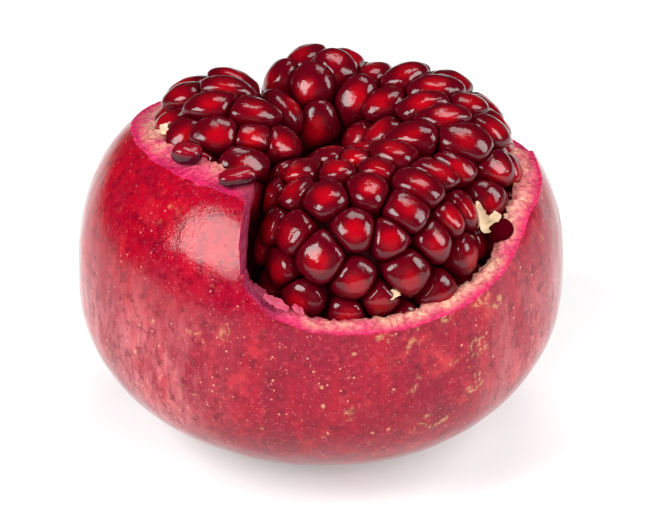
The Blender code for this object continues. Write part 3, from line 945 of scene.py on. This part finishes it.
def aril_stone(seed_rays, centre, axis, normal, size):
    """The seed inside an aril, longer along it and nearer its outer end."""
    shrink = np.eye(3) * 0.62 + 0.16 * np.outer(axis, axis)
    shrink -= 0.16 * np.outer(normal, normal)
    core = ARIL_SPACING / 2 + size * 0.6
    return centre + 0.7 * normal + (seed_rays @ shrink) * core


def add_copies(name, bodies, faces, mat):
    """One object from many bodies with the same faces."""
    count = len(bodies[0])
    indices = [faces + i * count for i in range(len(bodies))]
    points = lift(np.concatenate(bodies))
    return add_mesh(name, points, np.concatenate(indices).tolist(), (mat,))


def build_arils(flesh, seed_mat):
    rays, faces = unit_sphere(ARIL_DETAIL)
    seed_rays, seed_faces = unit_sphere(2)
    centres, axes, normals, owners, size = pack_arils()
    rng = np.random.default_rng(SEED + 1)
    axes = axes + rng.normal(size=axes.shape) * ARIL_TILT
    axes /= np.linalg.norm(axes, axis=1)[:, None]
    for index, name in enumerate(CHAMBERS):
        bodies = []
        painted_glows = []
        stones = []
        for i in np.flatnonzero(owners == index):
            reach = aril_radii(rays, i, centres, axes, normals, size)
            body = centres[i] + rays * reach[:, None]
            uneven = [ARIL_UNEVENNESS * lumps(p, 2.8, float(i)) for p in body]
            body = body + rays * np.array(uneven)[:, None]
            bodies.append(body)
            # Painted glow over the seed, leaning to the front, at a random strength for each aril;
            # the attribute core carries it to the flesh's colour.
            glow_direction = normals[i] + PAINTED_GLOW_LEAN + rng.normal(size=3) * 0.12
            glow_direction /= np.linalg.norm(glow_direction)
            strength = rng.uniform(0.55, 1.0)
            painted_glows.append(strength * painted_glow_share(body - centres[i], glow_direction, axes[i]))
            stones.append(aril_stone(seed_rays, centres[i], axes[i], normals[i], size[i]))
        group = add_copies("arils_" + name + "_detail", bodies, faces, flesh)
        store(group, "core", np.concatenate(painted_glows))
        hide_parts("arils_" + name)
        add_copies("seeds_" + name, stones, seed_faces, seed_mat)


def build_bed(mat):
    """A dark sheet for the deeper pulp that closes the gaps between the arils at the surface; its
    near-black colour is painted shade.
    """
    rays, faces = unit_sphere(4)
    for name in CHAMBERS:
        centre = np.array(CHAMBERS[name][0])
        radii = np.array(CHAMBERS[name][1]) - BED_DEPTH
        offsets = (rays * radii) @ chamber_axes(CHAMBERS[name][2])
        skin = push_to_skin(offsets, name, BED_DEPTH)
        skin[:, 2] = np.where(skin[:, 2] < centre[2] - 8, skin[:, 2] - 6, skin[:, 2])
        skin[:, 2] = np.maximum(skin[:, 2], 1.5 - FLOOR_DEPTH)
        reach = np.hypot(skin[:, 0], skin[:, 1])
        skin[:, :2] *= np.minimum(1.0, pulp_limit(skin, 1.2, 0.0) / reach)[:, None]
        add_mesh("painted_shade_bed_" + name, lift(skin), faces.tolist(), (mat,))


# --------------------------------------------------------------------- scraps

SCRAP_THICKNESS = 0.45
SCRAP_RINGS = 25
SCRAP_SIDES = 24
FACING_ELEVATION = 35.0
# Scraps: azimuth, radius and height of stations along each, and half widths there.
SCRAPS = {
    "membrane_right": (((54.4, 38.0, 27.8), (55.0, 38.6, 25.0), (55.9, 39.7, 22.2),
                        (57.4, 40.4, 22.8), (59.4, 41.0, 24.6)), (0.3, 1.2, 1.5, 1.5, 0.8)),
    "membrane_front": (((16.4, 43.4, 17.6), (18.2, 43.7, 17.2), (20.4, 43.9, 17.5)),
                       (0.5, 1.0, 0.6)),
    "membrane_left": (((-83.0, 32.8, 34.9), (-80.0, 32.2, 35.6), (-77.0, 31.6, 35.4)),
                      (0.8, 1.2, 0.35)),
    "rind_shred_long": (((-13.8, 46.0, 18.8), (-12.2, 45.7, 17.8), (-10.2, 45.7, 17.0),
                         (-7.8, 46.2, 16.2)), (0.35, 0.8, 0.9, 0.5)),
    "rind_shred_short": (((-6.8, 45.4, 16.8), (-5.4, 45.7, 16.0), (-4.2, 46.2, 15.2)),
                         (0.5, 0.7, 0.35)),
}
# Loose arils: azimuth, radius and height of the middle, radii, and turn in degrees.
LOOSE_ARILS = {
    "loose_aril_rear": ((-56.0, 32.0, 36.2), (3.0, 2.4, 1.9), -20.0),
    "loose_aril_front": ((-30.5, 32.0, 35.9), (3.9, 2.3, 1.5), 25.0),
}


def scrap_line(stations):
    """Smooth middle line through the stations, with its side and outward directions."""
    knots = np.array([around(*place) for place in stations])
    spread = np.linspace(0.0, len(knots) - 1.0, SCRAP_RINGS)
    line = np.array([np.interp(spread, range(len(knots)), knots[:, k]) for k in range(3)]).T
    for _ in range(3):
        line[1:-1] = (line[:-2] + 2.0 * line[1:-1] + line[2:]) / 4
    rise = math.radians(FACING_ELEVATION)
    facing = np.array([0.0, -math.cos(rise), math.sin(rise)])
    along = np.gradient(line, axis=0)
    side = np.cross(along, facing)
    side /= np.linalg.norm(side, axis=1)[:, None]
    out = np.cross(side, along)
    out /= np.linalg.norm(out, axis=1)[:, None]
    return spread, line, side, out


def tube_faces(rings, count):
    faces = []
    for i in range(rings - 1):
        for k in range(count):
            here = i * count
            after = (k + 1) % count
            faces.append((here + k, here + after, here + count + after, here + count + k))
    faces.append(tuple(reversed(range(count))))
    faces.append(tuple(range((rings - 1) * count, rings * count)))
    return faces


def build_scrap(name, mat):
    """A torn sliver: a thin bent strip with ragged edges, closed all round."""
    stations, halves = SCRAPS[name]
    spread, line, side, out = scrap_line(stations)
    half = np.interp(spread, range(len(halves)), halves)
    points = []
    for i, middle in enumerate(line):
        for turn in np.linspace(0.0, 2 * math.pi, SCRAP_SIDES, endpoint=False):
            across = math.cos(turn)
            place = middle + side[i] * across * half[i]
            edge = 1.0 + 0.45 * lumps(place, 0.8, 3.0)
            curl = 0.55 * half[i] * across ** 2 + 0.25 * lumps(place, 1.6, 5.0)
            flat = math.copysign(abs(math.sin(turn)) ** 0.6, math.sin(turn))
            lifted = out[i] * (curl + SCRAP_THICKNESS / 2 * flat)
            points.append(middle + side[i] * across * half[i] * edge + lifted)
    faces = tube_faces(SCRAP_RINGS, SCRAP_SIDES)
    obj = add_mesh(name + "_detail", lift(points), faces, (mat,))
    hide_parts(name)


def build_loose_aril(name, flesh, seed_mat):
    """An aril off its seat, lying on the cut, with its seed inside."""
    place, radii, roll = LOOSE_ARILS[name]
    rays, faces = unit_sphere(ARIL_DETAIL)
    turn = math.radians(roll)
    spin = np.array([[math.cos(turn), math.sin(turn), 0.0],
                     [-math.sin(turn), math.cos(turn), 0.0], [0.0, 0.0, 1.0]])
    boxy = np.sum(np.abs(rays) ** 3.0, axis=1) ** (-1.0 / 3.0)
    body = (rays * boxy[:, None] * np.array(radii)) @ spin
    dents = np.array([0.30 * lumps(p, 1.8, place[0]) for p in body])
    body = body + rays * dents[:, None]
    centre = around(*place)
    obj = add_mesh(name + "_detail", lift(centre + body), faces.tolist(), (flesh,))
    # Painted light: the top painted bright as the glow, the underside left as painted shade.
    store(obj, "core", smooth_step(rays[:, 2], -0.2, 0.9))
    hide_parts(name)
    seed_rays, seed_faces = unit_sphere(3)
    stone = (seed_rays * np.array(radii) * (0.55, 0.42, 0.5)) @ spin
    add_mesh(name + "_seed", lift(centre + stone), seed_faces.tolist(), (seed_mat,))


# ---------------------------------------------------------------------- stage

# Camera: elevation in degrees, aim and distance in metres in the frame.
CAMERA_ELEVATION = 27.5
CAMERA_AIM = (0.0008, 0.0, EQUATOR_HEIGHT * MM + 0.00475)
CAMERA_DISTANCE = 0.600
CAMERA_LENS = 159.4
LIGHT_AIM = (0.0, 0.0, 0.04)
# Softboxes: azimuth, elevation, distance, width, height (degrees, metres) and power.
SOFTBOXES = {
    "softbox_left": (-61.0, 37.0, 0.8, 0.47, 0.48, 9.2),
    "softbox_right": (82.0, 34.0, 0.8, 0.36, 0.66, 7.0),
    "softbox_back": (160.0, 66.0, 0.9, 0.45, 0.35, 3.0),
    "fill_front": (6.0, 24.0, 0.9, 0.80, 0.50, 7.2),
}
WORLD_STRENGTH = 0.02


def place_camera():
    elevation = math.radians(CAMERA_ELEVATION)
    aim = Vector(CAMERA_AIM)
    look = Vector((0.0, math.cos(elevation), -math.sin(elevation)))
    data = bpy.data.cameras.new("camera")
    data.lens = CAMERA_LENS
    data.sensor_width = 36.0
    data.clip_end = 10.0
    camera = bpy.data.objects.new("camera", data)
    bpy.context.scene.collection.objects.link(camera)
    camera.location = aim - look * CAMERA_DISTANCE
    camera.rotation_euler = (math.pi / 2 - elevation, 0.0, 0.0)
    bpy.context.scene.camera = camera


def softbox(name, azimuth, elevation, distance, width, height, power):
    data = bpy.data.lights.new(name, "AREA")
    data.shape = "RECTANGLE"
    data.size = width
    data.size_y = height
    data.energy = power
    light = bpy.data.objects.new(name, data)
    bpy.context.scene.collection.objects.link(light)
    turn = math.radians(azimuth)
    rise = math.radians(elevation)
    aim = Vector(LIGHT_AIM)
    out = Vector((math.sin(turn) * math.cos(rise), -math.cos(turn) * math.cos(rise),
                  math.sin(rise)))
    light.location = aim + out * distance
    light.rotation_euler = (-out).to_track_quat("-Z", "Y").to_euler()
    return light


def floor_material():
    s = Shader("studio_floor")
    s.set("Base Color", (0.60, 0.60, 0.60, 1.0))
    s.set("Emission Color", (1.0, 1.0, 1.0, 1.0))
    s.set("Emission Strength", 0.25)
    s.set("Roughness", 0.9)
    return s.mat


def build_stage():
    bm = bmesh.new()
    bmesh.ops.create_circle(bm, cap_ends=True, segments=64, radius=3.0)
    mesh = bpy.data.meshes.new("studio_floor")
    bm.to_mesh(mesh)
    bm.free()
    mesh.materials.append(floor_material())
    floor = bpy.data.objects.new("studio_floor", mesh)
    bpy.context.scene.collection.objects.link(floor)
    lights = {name: softbox(name, *values) for name, values in SOFTBOXES.items()}
    # The fill lights the front without a reflection of its own in skin or arils.
    lights["fill_front"].visible_glossy = False
    world = bpy.data.worlds.new("studio")
    world.use_nodes = True
    back = world.node_tree.nodes["Background"]
    back.inputs["Color"].default_value = (1.0, 1.0, 1.0, 1.0)
    back.inputs["Strength"].default_value = WORLD_STRENGTH
    scene = bpy.context.scene
    scene.world = world
    scene.view_settings.view_transform = "Standard"
    scene.view_settings.look = "None"


# ----------------------------------------------------------------------- main

place_camera()
build_stage()
build_rind(skin_material(), cut_material(), pith_material("rind_lining", (0.38, 0.26, 0.18)))
# Each aril material gets a dark colour, painted shade at the edge, and a bright one, painted glow
# over the seed.
flesh = aril_material("aril_flesh", 0.55, (0.15, 0.0002, 0.008), (0.48, 0.001, 0.010), 220.0)
bruised = aril_material("aril_bruised", 0.30, (0.05, 0.0006, 0.008), (0.24, 0.002, 0.012), 400.0)
stones = seed_material()
build_arils(flesh, stones)
build_bed(bed_shade_material())
membrane = pith_material("membrane", (0.68, 0.50, 0.32))
shred = pith_material("rind_shred", (0.42, 0.030, 0.085))
for scrap in ("membrane_right", "membrane_front", "membrane_left"):
    build_scrap(scrap, membrane)
for scrap in ("rind_shred_long", "rind_shred_short"):
    build_scrap(scrap, shred)
for loose in LOOSE_ARILS:
    build_loose_aril(loose, bruised, stones)
